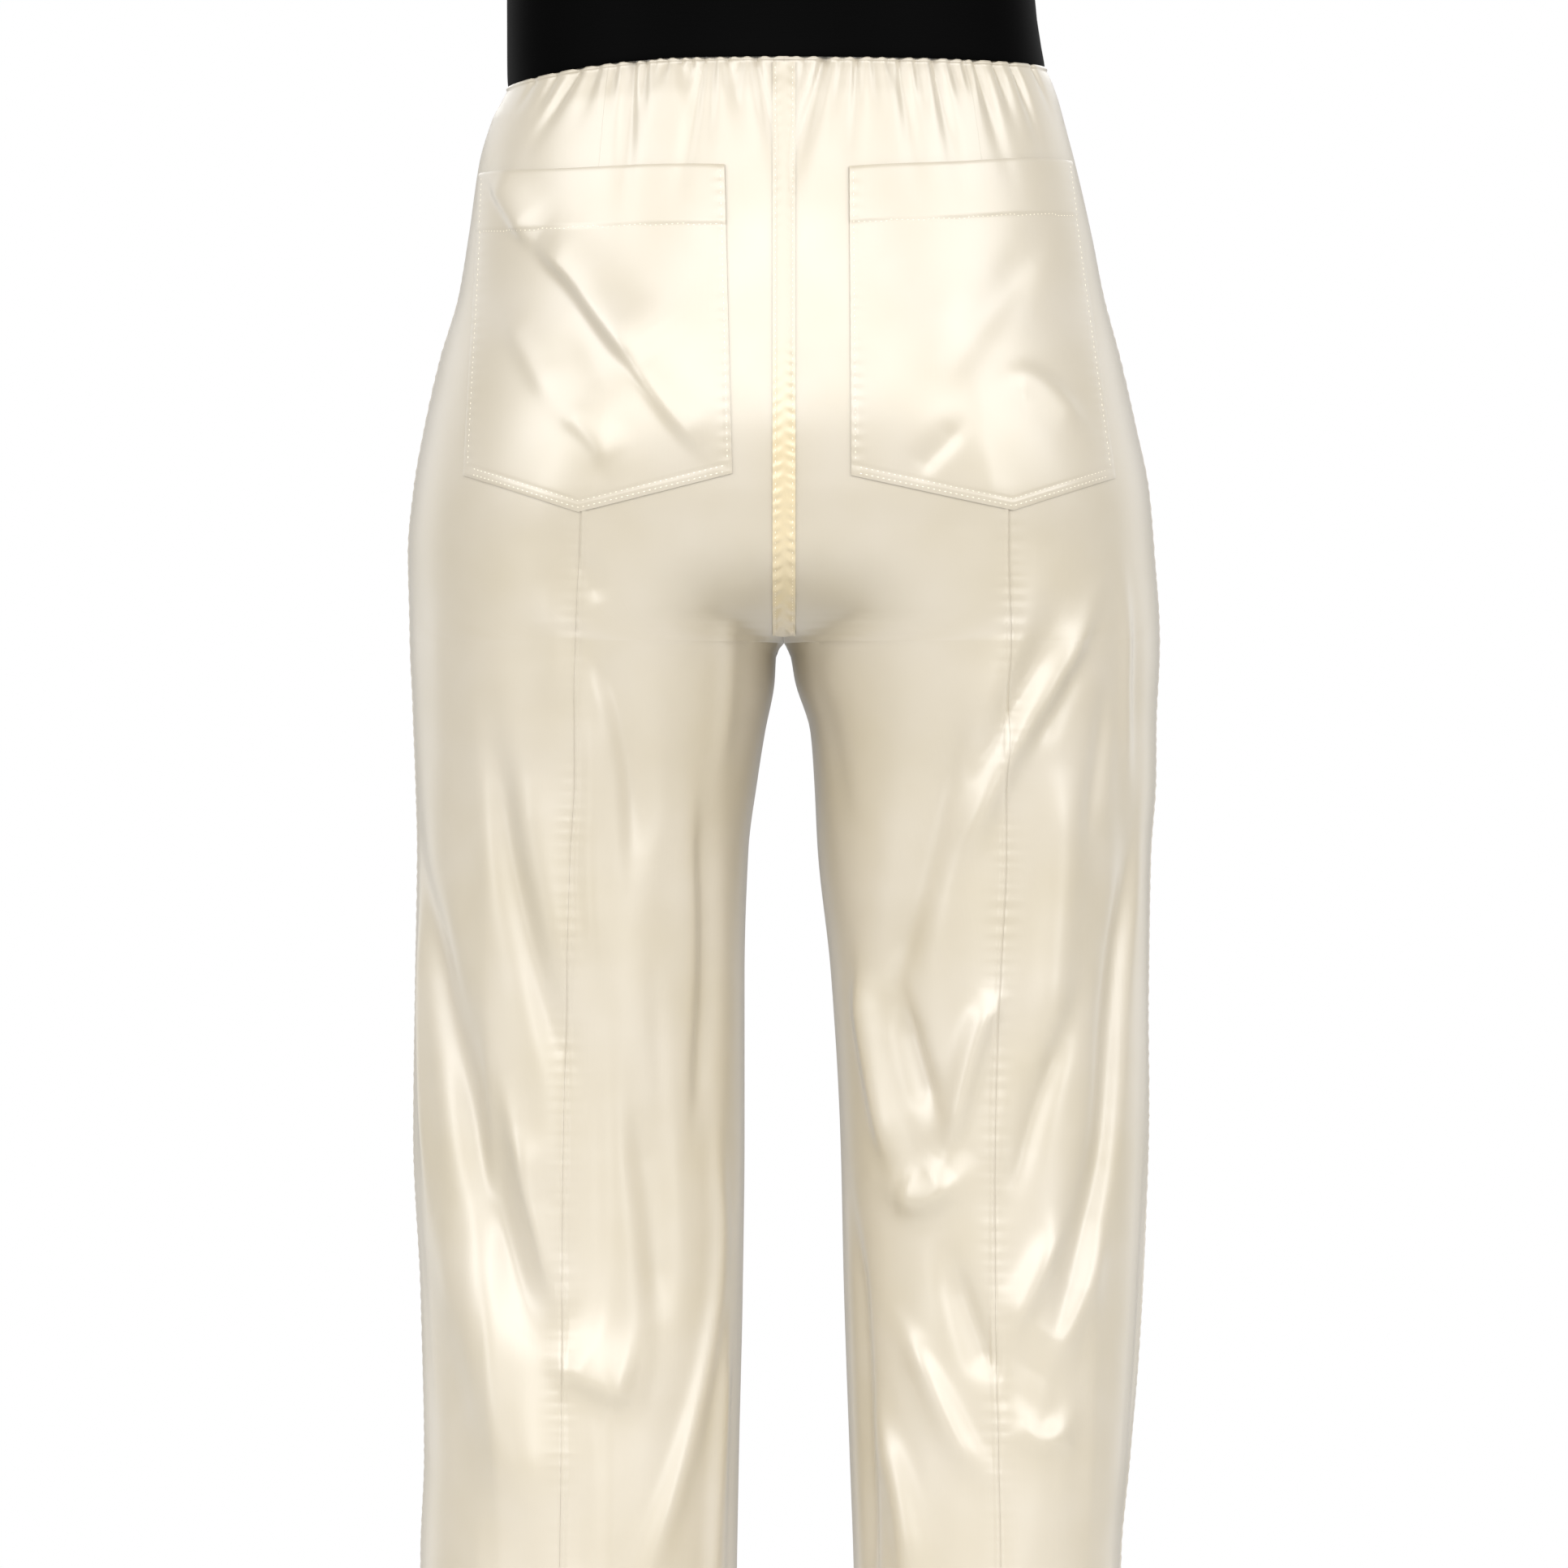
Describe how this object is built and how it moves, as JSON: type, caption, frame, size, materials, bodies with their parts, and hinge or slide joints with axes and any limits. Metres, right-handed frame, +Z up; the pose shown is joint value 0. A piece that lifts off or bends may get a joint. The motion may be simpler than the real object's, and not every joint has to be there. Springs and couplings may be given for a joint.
{
  "type": "pull-on trousers",
  "caption": "Satin pull-on trousers, worn and hollow, with a smooth elastic waistband, gathers under it and pointed back patch pockets",
  "frame": {"origin": "the centre of the waistband, halfway up it, where the wearer's waist holds it", "axes": "+Z up, +Y the wearer's back, +X the wearer's left"},
  "size_m": [0.4, 0.2519, 1.125],
  "materials": {
    "satin": "ivory satin with a soft sheen",
    "band": "smooth black elastic"
  },
  "bodies": {
    "root": {"waistband": "band", "back_inner_left": "satin", "back_inner_right": "satin", "back_outer_left": "satin", "back_outer_right": "satin", "front_left": "satin", "front_right": "satin", "pocket_left": "satin", "pocket_right": "satin", "centre_back_fell": "satin"}
  },
  "joints": []
}
